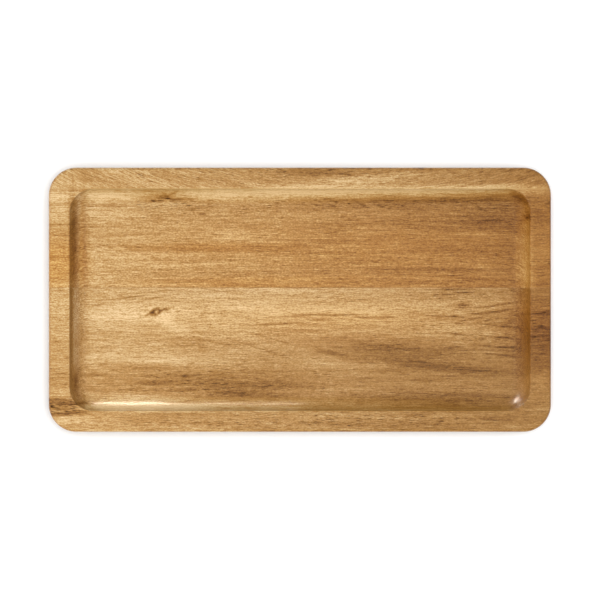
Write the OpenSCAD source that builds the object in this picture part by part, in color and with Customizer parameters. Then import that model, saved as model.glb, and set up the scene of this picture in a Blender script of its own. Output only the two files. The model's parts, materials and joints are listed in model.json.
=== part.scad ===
// Rectangular wooden serving tray: two boards edge-glued into one blank, then
// routed to leave a flat rim around a shallow recess with a coved edge.
// Frame: origin at the centre of the underside, +X along the length,
// +Y towards the rear edge, +Z up. All sizes are in millimetres.

/* [Blank] */
// Overall length, left to right
tray_len = 380; // [280:1:480]
// Overall width, front to rear
tray_wid = 200; // [150:1:280]
// Thickness of the planed blank
tray_thk = 18; // [15:0.5:30]
// Plan radius of the four outer corners
corner_r = 21; // [8:1:32]
// Round-over on the top and bottom outer edges
edge_r = 2; // [0.5:0.25:4]

/* [Recess] */
// Width of the flat rim, from the outer edge to the recess
rim_w = 16; // [12:0.5:30]
// Depth of the recess below the rim
recess_d = 10; // [5:0.5:12]
// Radius of the round-nose cutter that sweeps the cove
cove_r = 12.7; // [12:0.1:16]
// Plan radius of the recess corners, where the cove meets the rim
recess_corner_r = 18; // [16:0.5:30]
// Rounding sanded onto the arris between the cove and the rim
arris_r = 1; // [0.3:0.1:2]

/* [Glue joint] */
// Width of the rear board, from the rear edge to the middle of the glue line
rear_board_w = 91; // [50:1:100]
// Thickness of the cured glue line between the two boards
glue_t = 0.2; // [0.1:0.05:0.4]

/* [Hidden] */
$fn = 96;

// How far the slicing blocks and the edge cutter run past the wood
past = 5;
// Arcs that would only touch a face or each other cross it by this much
crossing = 0.002;
// Overlap of the shapes that make up the recess section
lap = 1;

// Middle of the glue line, measured from the centre of the tray
joint_y = tray_wid / 2 - rear_board_w;

// Cove section, measured outwards from the recess edge (x) and upwards from the rim (y):
// the centre of the round-nose cutter, then the centre of the fillet on the arris
cove_y = cove_r - recess_d - crossing;
cove_c = [-sqrt(pow(cove_r, 2) - pow(cove_y, 2)), cove_y];
arris_y = crossing - arris_r;
arris_c = [cove_c.x + sqrt(pow(cove_r + arris_r - crossing, 2) - pow(arris_y - cove_y, 2)), arris_y];
// Height of the cutter's sweep above the rim
sweep_h = cove_r;

// A corner-to-corner ring of four straight runs and four quarter turns, filled in the
// middle. The 2D child is the section: x = 0 is the line through the corner centres.
module around(len, wid, r, h) {
  run_x = len / 2 - r;
  run_y = wid / 2 - r;
  for (side = [0, 1]) rotate([0, 0, 180 * side]) {
    translate([-run_x, run_y, 0]) rotate([90, 0, 90]) linear_extrude(2 * run_x) children();
    translate([run_x, run_y, 0]) rotate([90, 0, 0]) linear_extrude(2 * run_y) children();
    translate([run_x, run_y, 0]) rotate_extrude(angle = 90) children();
    translate([-run_x, run_y, 0]) rotate([0, 0, 90]) rotate_extrude(angle = 90) children();
  }
  translate([-run_x, -run_y, 0]) cube([2 * run_x, 2 * run_y, h]);
}

// Section of the blank outside the corner centres, with both outer edges rounded over
module blank_section() {
  difference() {
    square([corner_r, tray_thk]);
    for (end = [0, 1]) translate([0, end * tray_thk]) mirror([0, end]) difference() {
      translate([corner_r - edge_r, -past]) square([edge_r + past, edge_r + past]);
      translate([corner_r - edge_r, edge_r]) circle(edge_r);
    }
  }
}

// Section of the cutter's sweep outside the corner centres: flat floor, cove, arris
module recess_section() {
  square([recess_corner_r + cove_c.x, recess_d + sweep_h]);
  translate([recess_corner_r, recess_d]) {
    intersection() {
      translate(cove_c) circle(cove_r);
      translate([cove_c.x - lap, cove_y - cove_r - lap]) square(cove_r + lap);
    }
    difference() {
      polygon([cove_c, arris_c, [arris_c.x, sweep_h], [cove_c.x - lap, sweep_h], [cove_c.x - lap, cove_y]]);
      translate(arris_c) circle(arris_r);
    }
  }
}

// The finished tray in one piece, as it leaves the router
module routed_tray() {
  difference() {
    around(tray_len, tray_wid, corner_r, tray_thk) blank_section();
    translate([0, 0, tray_thk - recess_d])
      around(tray_len - 2 * rim_w, tray_wid - 2 * rim_w, recess_corner_r, recess_d + sweep_h)
        recess_section();
  }
}

// The strip of the routed tray between two lines that run along its length
module strip(y_from, y_to) {
  intersection() {
    routed_tray();
    translate([-tray_len / 2 - past, y_from, -past])
      cube([tray_len + 2 * past, y_to - y_from, tray_thk + 2 * past]);
  }
}

// Rear board, butted against the glue line along its whole length
module rear_board() {
  color("#BE8850") strip(joint_y + glue_t / 2, tray_wid / 2 + past);
}

// Front board, the wider of the two
module front_board() {
  color("#CBA06B") strip(-tray_wid / 2 - past, joint_y - glue_t / 2);
}

// Cured glue in the butt joint, planed and routed flush with the boards
module glue_line() {
  color("#8A5A2C") strip(joint_y - glue_t / 2, joint_y + glue_t / 2);
}

rear_board();
front_board();
glue_line();
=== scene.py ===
"""Looks for a routed acacia serving tray: two edge-glued boards under clear lacquer.

Metres, in the tray's own frame: origin under the middle of the tray, +X along its length,
+Y towards its rear edge, +Z up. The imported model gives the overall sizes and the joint.
"""

import json
from math import atan2, cos, pi, radians, sin, sqrt

import bmesh
import bpy
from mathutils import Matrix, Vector


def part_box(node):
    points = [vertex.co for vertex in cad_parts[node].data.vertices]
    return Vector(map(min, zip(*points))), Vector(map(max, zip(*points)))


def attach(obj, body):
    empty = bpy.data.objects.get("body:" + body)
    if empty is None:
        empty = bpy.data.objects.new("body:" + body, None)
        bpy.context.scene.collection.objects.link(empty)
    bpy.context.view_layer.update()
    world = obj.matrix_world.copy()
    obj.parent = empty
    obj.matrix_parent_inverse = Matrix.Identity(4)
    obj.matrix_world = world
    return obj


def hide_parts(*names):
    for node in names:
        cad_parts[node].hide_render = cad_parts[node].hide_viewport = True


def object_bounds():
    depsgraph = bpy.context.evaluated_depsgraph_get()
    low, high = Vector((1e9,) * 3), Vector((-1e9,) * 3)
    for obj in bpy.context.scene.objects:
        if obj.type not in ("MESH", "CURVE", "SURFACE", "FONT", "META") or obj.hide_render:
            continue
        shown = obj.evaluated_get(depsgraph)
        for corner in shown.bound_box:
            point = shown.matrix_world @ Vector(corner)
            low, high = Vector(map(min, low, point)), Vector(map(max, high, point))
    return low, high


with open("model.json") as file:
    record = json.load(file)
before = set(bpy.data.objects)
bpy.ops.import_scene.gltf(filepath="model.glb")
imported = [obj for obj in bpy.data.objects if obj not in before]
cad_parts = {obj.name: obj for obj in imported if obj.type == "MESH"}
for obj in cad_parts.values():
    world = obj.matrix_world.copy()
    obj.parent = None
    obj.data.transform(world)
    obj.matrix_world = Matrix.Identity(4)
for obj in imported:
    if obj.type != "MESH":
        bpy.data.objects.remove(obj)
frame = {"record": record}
cad_low, cad_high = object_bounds()


# ---------------------------------------------------------------------------------------
# The blank. Two acacia boards are glued edge to edge, planed to 18 mm and cut to a rounded
# rectangle; a round-nose cutter then sweeps out the shallow recess and leaves a coved edge.
# Every arris is sanded round. All three pieces below are strips of this one surface, which
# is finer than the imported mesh, so that highlights run smoothly round the glossy cove.
# ---------------------------------------------------------------------------------------
MM = 0.001
HALF_LENGTH = cad_high.x
HALF_WIDTH = cad_high.y
THICKNESS = cad_high.z
FLOOR_TOP = next(m["pos_m"][2] for m in frame["record"]["mounts"] if m["name"] == "recess_floor")

CORNER_R = 21 * MM  # plan radius of the outer corners
EDGE_R = 2 * MM  # round-over on the outer edges
RIM = 16 * MM  # flat rim, outer edge to recess
RECESS_CORNER_R = 18 * MM  # plan radius of the recess at the rim
COVE_R = 12.7 * MM  # radius of the round-nose cutter
ARRIS_R = 1 * MM  # sanded arris between cove and rim
CORNER_STEPS = 28  # facets round a quarter corner
COVE_STEPS = 26
ARRIS_STEPS = 5
EDGE_STEPS = 6
FLAT_MARGIN = 0.4 * MM  # narrow flat band beside each curve, so that the flats shade flat
WELD = 0.001 * MM  # points closer than this become one


def arc(centre, radius, start, end, steps):
    """Points on an arc in a section, as (distance out, height), angles in radians."""
    turn = (end - start) / steps
    return [
        (centre[0] + radius * cos(start + i * turn), centre[1] + radius * sin(start + i * turn))
        for i in range(steps + 1)
    ]


def recess_section():
    """Floor, cove, arris and the first of the rim, outwards from the corner centre."""
    cove_height = FLOOR_TOP + COVE_R
    cove_out = RECESS_CORNER_R - sqrt(COVE_R**2 - (cove_height - THICKNESS) ** 2)
    arris_height = THICKNESS - ARRIS_R
    arris_out = cove_out + sqrt((COVE_R + ARRIS_R) ** 2 - (arris_height - cove_height) ** 2)
    meet = atan2(arris_height - cove_height, arris_out - cove_out)
    return [
        (cove_out - FLAT_MARGIN, FLOOR_TOP),
        *arc((cove_out, cove_height), COVE_R, -pi / 2, meet, COVE_STEPS),
        *arc((arris_out, arris_height), ARRIS_R, meet + pi, pi / 2, ARRIS_STEPS)[1:],
        (arris_out + FLAT_MARGIN, THICKNESS),
    ]


def outer_section():
    """The last of the rim, the rounded side and the first of the underside."""
    inner = CORNER_R - EDGE_R
    top, bottom = THICKNESS - EDGE_R, EDGE_R
    return [
        (inner - FLAT_MARGIN, THICKNESS),
        *arc((inner, top), EDGE_R, pi / 2, 0, EDGE_STEPS),
        (CORNER_R, top - FLAT_MARGIN),
        (CORNER_R, bottom + FLAT_MARGIN),
        *arc((inner, bottom), EDGE_R, 0, -pi / 2, EDGE_STEPS),
        (inner - FLAT_MARGIN, 0),
    ]


def sweep_round(bm, section, inset):
    """Sweeps a section round one corner, and half way along the two sides that meet there."""
    corner = Vector((HALF_LENGTH - inset, HALF_WIDTH - inset, 0))
    points = [bm.verts.new((corner.x + out, corner.y, height)) for out, height in section]
    chain = [bm.edges.new(pair) for pair in zip(points, points[1:])]
    side = bmesh.ops.extrude_edge_only(bm, edges=chain)["geom"]
    side_points = [v for v in side if isinstance(v, bmesh.types.BMVert)]
    bmesh.ops.translate(bm, verts=side_points, vec=(0, -corner.y, 0))
    turned = bmesh.ops.spin(
        bm, geom=points + chain, cent=corner, axis=(0, 0, 1), angle=pi / 2, steps=CORNER_STEPS
    )["geom_last"]
    last_chain = [e for e in turned if isinstance(e, bmesh.types.BMEdge)]
    front = bmesh.ops.extrude_edge_only(bm, edges=last_chain)["geom"]
    front_points = [v for v in front if isinstance(v, bmesh.types.BMVert)]
    bmesh.ops.translate(bm, verts=front_points, vec=(-corner.x, 0, 0))


def closed_blank():
    """The whole routed tray as one closed surface."""
    bm = bmesh.new()
    sweep_round(bm, recess_section(), RIM + RECESS_CORNER_R)
    sweep_round(bm, outer_section(), CORNER_R)
    for axis in "XY":
        bmesh.ops.mirror(bm, geom=bm.verts[:] + bm.edges[:] + bm.faces[:], axis=axis, merge_dist=WELD)
    bmesh.ops.remove_doubles(bm, verts=bm.verts, dist=WELD)
    open_edges = [e for e in bm.edges if e.is_boundary]
    rim_edges = [e for e in open_edges if all(v.co.z > THICKNESS - EDGE_R / 2 for v in e.verts)]
    bmesh.ops.bridge_loops(bm, edges=rim_edges)
    bmesh.ops.holes_fill(bm, edges=[e for e in bm.edges if e.is_boundary], sides=0)
    bmesh.ops.recalc_face_normals(bm, faces=bm.faces)
    return bm


def strip_of_blank(name, low_y, high_y):
    """One piece of the glued blank: what lies between two planes along its length."""
    bm = closed_blank()
    for y, outwards in ((low_y, -1), (high_y, 1)):
        if abs(y) >= HALF_WIDTH:
            continue
        cut = bmesh.ops.bisect_plane(
            bm,
            geom=bm.verts[:] + bm.edges[:] + bm.faces[:],
            plane_co=(0, y, 0),
            plane_no=(0, outwards, 0),
            clear_outer=True,
        )["geom_cut"]
        cut_edges = [e for e in cut if isinstance(e, bmesh.types.BMEdge)]
        bmesh.ops.edgeloop_fill(bm, edges=cut_edges)
        for edge in cut_edges:
            edge.smooth = False
    bmesh.ops.recalc_face_normals(bm, faces=bm.faces)
    for face in bm.faces:
        face.smooth = True
    mesh = bpy.data.meshes.new(name)
    bm.to_mesh(mesh)
    bm.free()
    piece = bpy.data.objects.new(name, mesh)
    bpy.context.scene.collection.objects.link(piece)
    return piece


# ---------------------------------------------------------------------------------------
# Rear board. Rift-sawn acacia heartwood, 91 mm wide, sanded and sprayed with clear lacquer;
# its front edge is glued to the other board. The grain runs straight along it, curls over
# the rear rim and swirls round a small knot at the left of the rear cove.
# ---------------------------------------------------------------------------------------
def linear(hex_colour):
    """sRGB hex to the linear colour that the shaders work in."""
    parts = [int(hex_colour[i : i + 2], 16) / 255 for i in (1, 3, 5)]
    return [c / 12.92 if c <= 0.04045 else ((c + 0.055) / 1.055) ** 2.4 for c in parts] + [1]


def add(tree, kind, inputs=(), out=0, **settings):
    """Adds one shader node with its settings, and sets or links its inputs."""
    made = tree.nodes.new("ShaderNode" + kind)
    for key, value in settings.items():
        setattr(made, key, value)
    for key, value in inputs.items() if isinstance(inputs, dict) else enumerate(inputs):
        if isinstance(value, bpy.types.NodeSocket):
            tree.links.new(value, made.inputs[key])
        elif value is not None:
            made.inputs[key].default_value = value
    return made.outputs[out] if out is not None else made


# Acacia from its darkest knot to its palest sapwood, each at its place on the tone scale;
# the palest stop also gives the painted sheen along the rear cove
WOOD_TONES = {
    0.00: "#3A2003",
    0.20: "#5A360B",
    0.40: "#6F4815",
    0.60: "#825B24",
    0.70: "#8A6330",
    0.80: "#916D39",
    0.88: "#977544",
    1.00: "#A28658",
    1.25: "#B79C74",
}
MM_PER_METRE = 1000
ALL_THROUGH = 1000  # half height of a mark that reaches right through the board

# The fibres wander slowly from side to side, and the edge of every streak is ragged:
# the size of one wander, and how far it goes
SLOW_SIZE = (95, 26, 30)
SLOW_REACH = 1.5
RAGGED_SIZE = (12, 1.2, 3)
RAGGED_REACH = 0.55

# Layers of grain: size along the board, out from the pith and round it, then detail and
# depth. First bands of a year or two, then streaks, and last the fine fibre. Fibres and
# pores are about 0.2 mm wide in acacia; they are drawn about 0.5 mm wide so that they show.
RING_UNROLL = 60  # radius at which the turn round the pith becomes a length
GRAIN_LAYERS = (
    ((190, 9, 26), 2, 0.36),
    ((60, 2.0, 3.4), 2, 0.32),
    ((34, 0.55, 0.75), 1, 0.5),
    ((7, 0.5, 0.7), 0, 0.4),
    ((1.4, 0.5, 0.6), 0, 0.62),
)
PORE_SIZE = (5, 0.5, 0.7)
PORE_TONE = -0.34
CROWD_SIZE = (45, 5, 9)  # bands in which the pores crowd together
DIMPLE_DEPTH = 0.04 * MM

SKIN_FROM, SKIN_FULL = 3, 7  # heights between which a change across the fibres comes in

# End grain: the direction of the fibres, which dip a little towards one end, and how far
# the surface faces along them where the end grain starts and where it is full
FIBRES = (-0.99, 0, 0.12)
END_GRAIN_FROM, END_GRAIN_FULL = 0.14, 0.5
FUZZ_SIZE = (3, 0.9, 1.6)


def lacquered_acacia(name, tone, tone_and_light_fade, pith, curl, knots, crowds, amber, marks):
    """Clear-lacquered acacia, sawn from the round: brown streaks and short dark pores along
    the grain, growth rings as arcs on the end grain, all under a thin, even, satin film.
    Lengths are in millimetres on the board. The tone is the board's own; it fades along +X,
    partly as the wood's own colour and partly as painted shade for the light that falls off
    that way. The pith is the (y, z) of the heart of the tree, and curl is None or the grain's
    middle, bend, start and full. The last four lists are the figure, given one by one.
    """
    material = bpy.data.materials.new(name)
    material.use_nodes = True
    tree = material.node_tree
    tree.nodes.clear()
    place = add(tree, "TexCoord", out="Object")
    spot = add(tree, "VectorMath", {0: place, 3: MM_PER_METRE}, operation="SCALE")

    slow = add(tree, "VectorMath", [spot, SLOW_SIZE], operation="DIVIDE")
    slow = add(tree, "TexNoise", {"Vector": slow, "Scale": 1, "Detail": 1}, out="Color")
    ragged = add(tree, "VectorMath", [spot, RAGGED_SIZE], operation="DIVIDE")
    ragged = add(tree, "TexNoise", {"Vector": ragged, "Scale": 1, "Detail": 2}, out="Color")
    reach = (0, 2 * SLOW_REACH, 2 * SLOW_REACH)
    slow = add(tree, "VectorMath", [slow, reach, (0, -SLOW_REACH, -SLOW_REACH)], operation="MULTIPLY_ADD")
    reach = (0, 2 * RAGGED_REACH, 0)
    ragged = add(tree, "VectorMath", [ragged, reach, (0, -RAGGED_REACH, 0)], operation="MULTIPLY_ADD")
    figure = add(tree, "VectorMath", [spot, ragged], operation="ADD")
    grain = add(tree, "VectorMath", [spot, slow], operation="ADD")

    # Round a knot the grain parts and closes again
    for x, y, half_length, half_width, push in knots:
        near = add(
            tree,
            "Mapping",
            [spot, (x, y, 0), None, (half_length, half_width, ALL_THROUGH)],
            vector_type="TEXTURE",
        )
        near = add(tree, "TexGradient", [near], out="Fac", gradient_type="QUADRATIC_SPHERE")
        away = add(tree, "VectorMath", [spot, (x, y, 0)], operation="SUBTRACT")
        away = add(tree, "VectorMath", [away, (0, -push, 0)], operation="MULTIPLY")
        away = add(tree, "VectorMath", {0: away, 3: near}, operation="SCALE")
        grain = add(tree, "VectorMath", [grain, away], operation="ADD")

    # Along the rear rim the grain curls: parabolas that close on one point of the length
    if curl:
        middle, bend, start, full = curl
        along = add(tree, "SeparateXYZ", [spot])
        across = add(tree, "SeparateXYZ", [spot], out="Y")
        lift = add(tree, "Math", [along, middle], operation="SUBTRACT")
        lift = add(tree, "Math", [lift, lift], operation="MULTIPLY")
        lift = add(tree, "Math", [lift, -bend], operation="MULTIPLY")
        share = add(
            tree,
            "MapRange",
            {"Value": across, "From Min": start, "From Max": full},
            interpolation_type="SMOOTHSTEP",
        )
        lift = add(tree, "Math", [lift, share], operation="MULTIPLY")
        lift = add(tree, "CombineXYZ", {"Y": lift})
        grain = add(tree, "VectorMath", [grain, lift], operation="ADD")

    # Growth rings: along the board, out from the pith, and round it
    out = add(tree, "VectorMath", [grain, (0, *pith)], operation="SUBTRACT")
    lengthwise = add(tree, "SeparateXYZ", [out], out="X")
    sideways = add(tree, "SeparateXYZ", [out], out="Y")
    upwards = add(tree, "SeparateXYZ", [out], out="Z")
    out = add(tree, "VectorMath", [out, (0, 1, 1)], operation="MULTIPLY")
    radius = add(tree, "VectorMath", [out], out="Value", operation="LENGTH")
    turn = add(tree, "Math", [sideways, upwards], operation="ARCTAN2")
    turn = add(tree, "Math", [turn, RING_UNROLL], operation="MULTIPLY")
    rings = add(tree, "CombineXYZ", [lengthwise, radius, turn])

    # The board's tone falls off along +X, partly as the wood's own colour and partly as painted
    # shade for the light falling off that way. Each layer of grain makes the wood darker and
    # lighter by its own depth
    total = add(tree, "Math", [lengthwise, -tone_and_light_fade, tone], operation="MULTIPLY_ADD")
    for size, detail, depth in GRAIN_LAYERS:
        layer = add(tree, "VectorMath", [rings, size], operation="DIVIDE")
        layer = add(tree, "TexNoise", {"Vector": layer, "Scale": 1, "Detail": detail}, out="Fac")
        layer = add(tree, "Math", [layer, 0.5], operation="SUBTRACT")
        total = add(tree, "Math", [layer, depth, total], operation="MULTIPLY_ADD")

    # Listed figure: soft spindles at (x, y), half length, half width, turn and strength
    # that darken or lighten the wood, warm it to gold, or crowd its pores together
    crowd = add(tree, "VectorMath", [rings, CROWD_SIZE], operation="DIVIDE")
    crowd = add(tree, "TexNoise", {"Vector": crowd, "Scale": 1, "Detail": 1}, out="Fac")
    crowd = add(tree, "MapRange", {"Value": crowd, "From Min": 0.35, "From Max": 0.7, "To Min": 0.3})
    sums = {"tone": total, "gold": 0, "crowd": crowd}
    height = add(tree, "SeparateXYZ", [spot], out="Z")
    skin = add(tree, "MapRange", {"Value": height, "From Min": SKIN_FROM, "From Max": SKIN_FULL})
    for kind, spindles in (("tone", marks), ("gold", amber), ("crowd", crowds)):
        for x, y, half_length, half_width, turn, change in spindles:
            spindle = add(
                tree,
                "Mapping",
                [figure, (x, y, 0), (0, 0, radians(turn)), (half_length, half_width, ALL_THROUGH)],
                vector_type="TEXTURE",
            )
            spindle = add(tree, "TexGradient", [spindle], out="Fac", gradient_type="SPHERICAL")
            # Across the fibres a change is only skin deep and doesn't reach the underside; among such
            # changes are the painted shade and light down the end coves
            if half_width > 2 * half_length:
                spindle = add(tree, "Math", [spindle, skin], operation="MULTIPLY")
            sums[kind] = add(tree, "Math", [spindle, change, sums[kind]], operation="MULTIPLY_ADD")

    # Pores: dark dashes a few millimetres long, crowded in some bands and sparse in others
    pores = add(tree, "VectorMath", [rings, PORE_SIZE], operation="DIVIDE")
    pores = add(tree, "TexNoise", {"Vector": pores, "Scale": 1, "Detail": 0}, out="Fac")
    pores = add(tree, "MapRange", {"Value": pores, "From Min": 0.56, "From Max": 0.76})
    pores = add(tree, "Math", [pores, sums["crowd"]], operation="MULTIPLY")
    total = add(tree, "Math", [pores, PORE_TONE, sums["tone"]], operation="MULTIPLY_ADD")
    total = add(tree, "Math", [total, 1 / max(WOOD_TONES)], operation="MULTIPLY")

    tones = add(tree, "ValToRGB", [total], out=None)
    ramp = tones.color_ramp
    ramp.interpolation = "LINEAR"
    for at in list(WOOD_TONES)[1:-1]:
        ramp.elements.new(at / max(WOOD_TONES))
    for element, (at, colour) in zip(ramp.elements, WOOD_TONES.items()):
        element.position = at / max(WOOD_TONES)
        element.color = linear(colour)
    colour = tones.outputs["Color"]
    colour = add(
        tree,
        "Mix",
        {"Factor": sums["gold"], 6: colour, 7: linear("#FFEFC4")},
        out=2,
        data_type="RGBA",
        blend_type="MULTIPLY",
    )

    # End grain drinks more lacquer and looks about a sixth darker, with fuzzy cut fibres
    facing = add(tree, "NewGeometry", out="Normal")
    facing = add(tree, "VectorMath", [facing, FIBRES], out="Value", operation="DOT_PRODUCT")
    facing = add(tree, "Math", [facing], operation="ABSOLUTE")
    fuzz = add(tree, "VectorMath", [rings, FUZZ_SIZE], operation="DIVIDE")
    fuzz = add(tree, "TexNoise", {"Vector": fuzz, "Scale": 1, "Detail": 1}, out="Fac")
    fuzz = add(
        tree,
        "MapRange",
        {"Value": fuzz, "From Min": 0.3, "From Max": 0.7, "To Min": 0.5, "To Max": 1.5},
    )
    ends = {"Value": facing, "From Min": END_GRAIN_FROM, "From Max": END_GRAIN_FULL}
    facing = add(tree, "MapRange", ends)
    facing = add(tree, "Math", [facing, fuzz], operation="MULTIPLY")
    colour = add(
        tree,
        "Mix",
        {"Factor": facing, 6: colour, 7: linear("#F0E9EC")},
        out=2,
        data_type="RGBA",
        blend_type="MULTIPLY",
    )

    # The lacquer bridges most pores and leaves only a faint dimple over each
    dimples = {"Strength": 1, "Distance": DIMPLE_DEPTH, "Height": pores}
    dimples = add(tree, "Bump", dimples, invert=True)
    # Sanded wood is dull by itself; the satin film over it gives one soft highlight
    shader = add(
        tree,
        "BsdfPrincipled",
        {
            "Base Color": colour,
            "Roughness": 0.5,
            "Specular IOR Level": 0.2,
            "Normal": dimples,
            "Coat Weight": 1.0,
            "Coat Roughness": 0.3,
            "Coat IOR": 1.5,
            "Coat Normal": dimples,
        },
    )
    add(tree, "OutputMaterial", {"Surface": shader}, out=None)
    return material


rear_low, rear_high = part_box("rear_board")
rear_board = strip_of_blank("lacquered_rear_board", rear_low.y, rear_high.y)
rear_board.data.materials.append(
    lacquered_acacia(
        "lacquered_acacia_rear_board",
        tone=0.78,
        tone_and_light_fade=0.00105,
        pith=(-70, -70),
        curl=(40, 0.0011, 83.2, 84.4),
        knots=[(-104, 78, 24, 9, 0.6)],
        crowds=[
            (60, 72, 190, 8, 0, 0.8),
            (-100, 72, 40, 9, 0, 1.4),
            (0, 95, 220, 12, 0, 0.9),
        ],
        amber=[
            (80, 40, 330, 75, 0, 0.6),
            (23, 12.4, 190, 7, 0, 1.1),
            (-184, 27, 30, 30, 0, 1.3),
            (-165.5, 40, 4, 50, 0, 0.7),
            (184, 60, 40, 60, 0, 0.6),
            (120, 13, 110, 8, 0, 0.5),
            (186, 24, 34, 30, 0, 1.5),
            (110, 36, 260, 48, 0, 0.6),
            (-64, 39.6, 90, 5, 0, 0.6),
        ],
        marks=[
            # Pale band along the rear cove, and where it spreads over the rim. In the cove it is partly
            # pale sapwood and partly a painted sheen of a bright surround in front
            (10, 81.3, 280, 6, 0.9, 0.5),
            (130, 83.5, 80, 5, 1, 0.25),
            (60, 88.5, 110, 8, 3, 0.14),
            (38, 90.4, 62, 6, 6, 0.18),
            # Brown streaks on the rear rim
            (8, 95.7, 45, 5, 0, -0.22),
            (129, 93.4, 75, 7, 3, -0.06),
            # Swirl of the small knot and its tail
            (-107, 79, 26, 6, 0, -0.36),
            (-101, 78.6, 6, 1.7, -40, -0.3),
            (-103.4, 77.5, 9, 1.6, 0, -0.32),
            (-90, 76.4, 14, 1.8, 0, -0.3),
            (-113, 74.8, 12, 1.3, 0, -0.25),
            (-96, 80.6, 6, 1.1, 25, -0.4),
            # Dark dashes below the rear cove
            (-146, 71.5, 22, 1.8, 0, -0.25),
            (-76, 70.7, 22, 8, 0, -0.15),
            (-74, 65.4, 5, 1.2, 0, -0.35),
            (76, 74.4, 150, 5, 1, -0.16),
            (129, 74.5, 42, 4, 0, -0.1),
            # Streaks across the floor, from rear to front
            (143, 69.2, 28, 1.5, 0, -0.2),
            (-143.5, 62.4, 32, 4.5, 0, 0.12),
            (140.6, 61.6, 42, 6.5, 0, -0.15),
            (147, 60, 26, 2, 0, -0.14),
            (137, 50.2, 36, 2, 0, 0.14),
            (-52, 48, 26, 7, 0, 0.15),
            (-64, 49.5, 7, 1, 0, -0.3),
            (23, 45, 75, 1.5, 0, -0.16),
            (-2, 42, 10, 1, 0, -0.25),
            (-64, 39.6, 85, 4.5, 0, -0.12),
            (-98, 26, 80, 3.5, 0, 0.1),
            (95, 23.3, 85, 2, 0, -0.2),
            (115, 12.5, 110, 5, 0, -0.12),
            (115.5, 18.4, 11, 1, 0, -0.25),
            (4, 15.5, 18, 1.8, 0, 0.14),
            (-102, 16.5, 28, 1.8, 0, 0.12),
            (-95, 14.8, 26, 1.1, 0, -0.16),
            # On the end rims and both ends of the rear rim, and down the two end coves
            (-182, 68.4, 18, 4, 0, 0.14),
            (-182, 40, 20, 50, 0, -0.15),
            (-150, 93, 60, 8, 0, -0.08),
            (183, 40, 20, 50, 0, 0.12),
            (125, 92, 80, 9, 0, 0.12),
            (-182, 57, 18, 1.3, 0, -0.2),
            (182, 80, 18, 8, 0, 0.14),
            (182, 64, 18, 11, 0, -0.14),
            (172.4, 62.4, 3.5, 3, 0, -0.4),
            # Painted shade down the left end cove, which faces away from the main light
            (-171.5, 64, 4.5, 36, 0, -0.42),
            (-171.5, 26, 4.5, 40, 0, -0.42),
            (-163.5, 40, 5, 75, 0, -0.28),
            (168, 76, 14, 4, -35, -0.25),
            # Painted light down the right end cove, which faces the main light
            (170, 20, 9, 68, 0, 0.38),
        ],
    )
)
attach(rear_board, "root")
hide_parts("rear_board")


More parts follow.
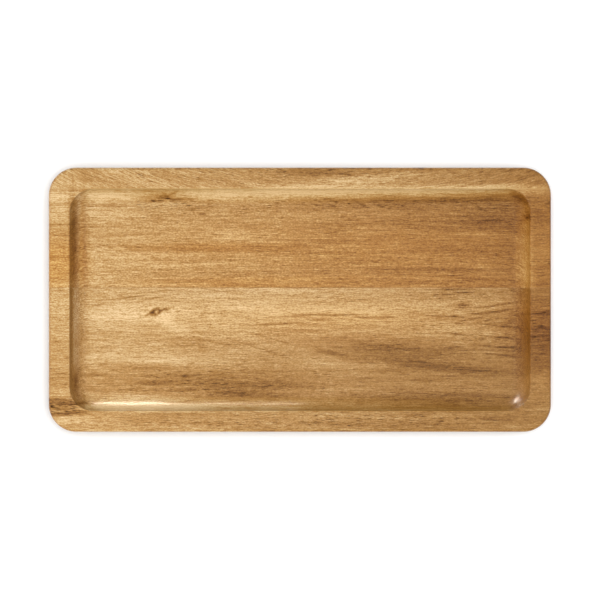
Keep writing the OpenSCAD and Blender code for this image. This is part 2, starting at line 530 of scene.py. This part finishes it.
# ---------------------------------------------------------------------------------------
# Front board. Flat-sawn acacia, 109 mm wide and paler, with the heart just under its front
# half, so the figure opens into broad flames. It holds one sound little knot near the left,
# and a band of dark heartwood crosses the left rim. Glued and lacquered with the other.
# ---------------------------------------------------------------------------------------
front_low, front_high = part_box("front_board")
front_board = strip_of_blank("lacquered_front_board", front_low.y, front_high.y)
front_board.data.materials.append(
    lacquered_acacia(
        "lacquered_acacia_front_board",
        tone=0.78,
        tone_and_light_fade=0.0006,
        pith=(-50, -24),
        curl=None,
        knots=[(-109.4, -9.2, 46, 22, 0.7), (124, -4.3, 22, 10, 0.5)],
        crowds=[
            (0, -92, 230, 12, 0, 1.1),
            (-90, -62, 120, 18, 0, 0.8),
            (-180, -81, 30, 9, 0, 2.5),
            (140, -20, 60, 40, 0, 0.6),
        ],
        amber=[(40, -14, 200, 26, 0, 0.7), (184, -20, 40, 62, 0, 1)],
        marks=[
            # Pale sapwood in the rear half
            (10, -8, 250, 30, 0, 0.26),
            (-134.4, -10.4, 30, 9, 0, 0.18),
            (-97.3, -18, 18, 7, -25, 0.22),
            (113, -21, 22, 7, 0, 0.14),
            # Arcs of grain that close over the knot
            (-129, 2, 18, 0.9, 7, -0.4),
            (-104, 6.6, 22, 0.9, 5, -0.25),
            (-151, -3.6, 16, 1.3, 12, -0.22),
            (-112, 1, 22, 0.9, 10, -0.22),
            # Arcs that run down to the right below it
            (-40, -34, 42, 1, -18, -0.22),
            (-62, -33, 36, 0.9, -14, -0.16),
            (-20, -30, 36, 0.9, -16, -0.16),
            # The knot: a dark ring round a pale eye, with a tail on each side
            (-109.2, -9.1, 5.6, 3.7, 18, -1.4),
            (-109, -9.1, 2.7, 1.9, 18, 1.4),
            (-102.8, -7.3, 6, 1.4, 10, -0.6),
            (-114.4, -10.7, 5, 1.5, 22, -0.55),
            # Long dark lines in the pale wood
            (8, -11.3, 20, 1, 1, -0.42),
            (34, -11.6, 22, 1, 2, -0.48),
            (49, -13.4, 10, 1.1, 0, -0.46),
            (64, -13.3, 10, 1.1, 0, -0.5),
            (16.3, -15.3, 11, 1.1, 0, -0.36),
            (-17.8, -18.4, 26, 1.2, 3, -0.43),
            (-6.4, -12.7, 20, 1, 0, -0.31),
            # Wavy dark lines towards the right end
            (118, 7.8, 24, 1.1, 0, -0.46),
            (125, 5.5, 12, 1.1, 0, -0.5),
            (112, 4, 12, 1.1, 0, -0.43),
            (123.8, -4.3, 9, 4, 0, -0.36),
            (149.7, -4, 24, 1.1, 9, -0.44),
            (146.6, -9.3, 27, 1.1, 8, -0.44),
            (112.6, -12.7, 22, 1.1, -3, -0.46),
            (133.6, -14, 15, 1, 9, -0.4),
            (153, -20, 20, 1, -6, -0.38),
            (118.7, -26, 15, 1, -8, -0.4),
            (152, -28.5, 21, 1, -6, -0.38),
            (117, -36, 13, 1.1, 4, -0.4),
            (148.6, -35.6, 25, 1, -4, -0.38),
            (153, -42, 19, 1.1, -6, -0.43),
            # The brown flame of the heart
            (50, -34, 90, 13, -8, -0.26),
            (17, -38.4, 13, 3, -15, -0.24),
            (36.8, -43.7, 26, 3.4, -12, -0.22),
            (90, -49.4, 48, 4.6, -6, -0.26),
            (136.8, -53.6, 38, 3.8, -5, -0.22),
            (99, -44.5, 75, 13, -6, -0.1),
            (15.6, -47.5, 36, 5, -4, 0.14),
            # Brown streaky wood along the front of the floor, and darker bands along the front cove
            (76, -61, 150, 17, 0, -0.12),
            # These three make the front cove darker along its length
            (80, -73.6, 110, 4.5, 0, -0.22),
            (125, -78, 90, 9, 0, -0.2),
            (-35, -73.5, 60, 4, 0, -0.28),
            (-86.7, -61, 135, 15, 0, -0.28),
            (-100, -44, 90, 11, 0, 0.14),
            (-83, -58, 14, 2, 0, -0.14),
            (-87, -68.7, 12, 2.2, 0, -0.2),
            (-110, -63, 18, 3, 0, -0.2),
            (-52.6, -70, 26, 3, 0, -0.22),
            (-116, -52, 26, 1.6, 0, -0.2),
            (-156, -57, 18, 1.8, 0, -0.25),
            (-34, -67, 60, 8, 0, -0.14),
            (-80, -35.5, 34, 7, 0, -0.1),
            # Dark heartwood across the left rim, ending sharply at the front
            (-182, -79, 34, 9, 0, -0.27),
            (-184, -75.5, 14, 1.4, 0, -0.5),
            (-172, -79, 14, 1.2, 2, -0.45),
            (-182, -82.5, 18, 1.3, -2, -0.45),
            (-181, -77.5, 26, 4, 0, -0.14),
            (-176, -91, 30, 4.5, 0, 0.24),
            (-176, -86, 24, 2.2, 4, -0.6),
            # Painted shade down the left cove, the end cove that faces away from the main light
            (-173, -5, 1.8, 90, 0, -0.4),
            (-170, -62, 3, 16, 0, -0.4),
            (-165, -22, 6, 80, 0, -0.2),
            # Left part of the front cove, front rim and right rim
            (90, -92, 190, 12, 0, -0.09),
            # These three lighten the left of the front cove: partly golden wood, partly a painted
            # highlight where the cove's glossy streak spreads wider
            (-115, -81, 60, 5, 0, 0.3),
            (-100, -82, 130, 4.5, 0, 0.26),
            (-130, -75.5, 50, 5, 0, 0.24),
            (150, -90, 26, 3, 0, -0.18),
            (186, -24, 40, 46, 0, -0.42),
            (183, -10.4, 20, 2, 0, -0.3),
            (183, -62, 24, 12, 0, 0.16),
        ],
    )
)
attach(front_board, "root")
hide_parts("front_board")


# ---------------------------------------------------------------------------------------
# Glue line. Cured wood glue fills the butt joint between the boards from end to end; it was
# planed, routed and lacquered flush with them, and shows only as a hair-thin amber line.
# ---------------------------------------------------------------------------------------
cured_glue = bpy.data.materials.new("cured_wood_glue")
cured_glue.use_nodes = True
cured_glue.node_tree.nodes.clear()
# Translucent amber that takes the colour of the dark joint behind it: a plain brown to the eye
shader = add(
    cured_glue.node_tree,
    "BsdfPrincipled",
    {
        "Base Color": linear("#7A552C"),
        "Roughness": 0.5,
        "Coat Weight": 1.0,
        "Coat Roughness": 0.3,
        "Coat IOR": 1.5,
    },
)
add(cured_glue.node_tree, "OutputMaterial", {"Surface": shader}, out=None)

glue_low, glue_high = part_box("glue_line")
glue_line = strip_of_blank("cured_glue_line", glue_low.y, glue_high.y)
glue_line.data.materials.append(cured_glue)
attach(glue_line, "root")
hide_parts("glue_line")


# ---------------------------------------------------------------------------------------
# Studio. A matt white board lies under the tray. A broad bank of soft light stands to its
# left, a small fill to its right and another bank above, with white walls all round, and
# three snooted lamps behind draw the highlights on the front cove. The camera looks down.
# ---------------------------------------------------------------------------------------
FLOOR_HALF_SIZE = 6
FLOOR_GAP = 0.2 * MM  # keeps the floor just clear of the underside

bm = bmesh.new()
bmesh.ops.create_grid(bm, x_segments=1, y_segments=1, size=FLOOR_HALF_SIZE)
bmesh.ops.translate(bm, verts=bm.verts, vec=(0, 0, -FLOOR_GAP))
mesh = bpy.data.meshes.new("pale_studio_floor")
bm.to_mesh(mesh)
bm.free()
floor = bpy.data.objects.new("pale_studio_floor", mesh)
bpy.context.scene.collection.objects.link(floor)
# Painted board with no shine: an even white to the eye
white_board = bpy.data.materials.new("matt_white_board")
white_board.use_nodes = True
white_board.node_tree.nodes.clear()
shader = add(
    white_board.node_tree,
    "BsdfPrincipled",
    {"Base Color": linear("#FBFBFB"), "Roughness": 0.9, "Specular IOR Level": 0.2},
)
add(white_board.node_tree, "OutputMaterial", {"Surface": shader}, out=None)
mesh.materials.append(white_board)


def softbox(name, place, aim, size, power, colour="#FFFFFF", spread=180):
    """A rectangular studio light, out of the picture, pointing at a spot. Spread in degrees."""
    lamp = bpy.data.lights.new(name, "AREA")
    lamp.shape = "RECTANGLE"
    lamp.size, lamp.size_y = size
    lamp.energy = power
    lamp.color = linear(colour)[:3]
    lamp.spread = radians(spread)
    holder = bpy.data.objects.new(name, lamp)
    holder.location = place
    holder.rotation_mode = "QUATERNION"
    holder.rotation_quaternion = (Vector(aim) - Vector(place)).to_track_quat("-Z", "Y")
    holder.visible_camera = False
    bpy.context.scene.collection.objects.link(holder)
    return holder


# Three soft sources make the shading and leave no reflection of their own
left_bank = softbox("left_bank", (-0.5, -0.25, 0.7), (-0.1, 0, 0), (0.6, 0.6), 7.4)
right_fill = softbox("right_fill", (0.6, 0, 0.3), (0.19, 0, 0), (0.3, 0.3), 0.5)
ceiling_bank = softbox("ceiling_bank", (0.05, 0, 1.1), (0.05, 0, 0), (0.5, 0.5), 3.8)
for bank in (left_bank, right_fill, ceiling_bank):
    bank.visible_glossy = False
# A flag keeps the left bank off the floor, so that the tray stands on a thin contact shadow
flagged_off = bpy.data.collections.new("flagged_off_the_floor")
flagged_off.objects.link(floor)
flagged_off.collection_objects[0].light_linking.link_state = "EXCLUDE"
left_bank.light_linking.receiver_collection = flagged_off
# Three snooted lamps behind the tray glance off the front cove: a bright streak at its
# left, the streak's long tail, and a spot in the right corner
streak_lamp = softbox(
    "streak_lamp",
    place=(-0.128, 2.15, 1.145),
    aim=(-0.128, -0.0782, 0.0099),
    size=(0.05, 0.006),
    power=0.0011,
    colour="#FFF0DC",
    spread=0.6,
)
tail_lamp = softbox(
    "tail_lamp",
    place=(-0.08, 2.25, 0.96),
    aim=(-0.08, -0.0787, 0.0102),
    size=(0.16, 0.006),
    power=0.0014,
    colour="#FFE9CC",
    spread=0.6,
)
corner_lamp = softbox(
    "corner_lamp",
    place=(-0.189, 0.36, 0.228),
    aim=(0.1635, -0.0755, 0.0112),
    size=(0.06, 0.05),
    power=0.0105,
    colour="#FFF4E8",
    spread=5,
)
for glint in (streak_lamp, tail_lamp, corner_lamp):
    glint.visible_diffuse = False
world = bpy.data.worlds.new("white_walls")
bpy.context.scene.world = world
world.use_nodes = True
world.node_tree.nodes["Background"].inputs["Color"].default_value = linear("#FFFFFF")
world.node_tree.nodes["Background"].inputs["Strength"].default_value = 1.1
world.cycles_visibility.glossy = False

CAMERA_HEIGHT = 2.4
SENSOR_WIDTH = 36  # in the camera's own millimetres
FRAME_WIDTH = 453.6 * MM  # what the picture takes in at the level of the rim
camera_data = bpy.data.cameras.new("overhead_camera")
camera_data.sensor_width = SENSOR_WIDTH
camera_data.lens = SENSOR_WIDTH * (CAMERA_HEIGHT - THICKNESS) / FRAME_WIDTH
camera_data.clip_start = 0.1
camera_data.clip_end = 20
camera = bpy.data.objects.new("overhead_camera", camera_data)
camera.location = (0.1 * MM, -0.2 * MM, CAMERA_HEIGHT)
bpy.context.scene.collection.objects.link(camera)
bpy.context.scene.camera = camera
bpy.context.scene.view_settings.view_transform = "Standard"
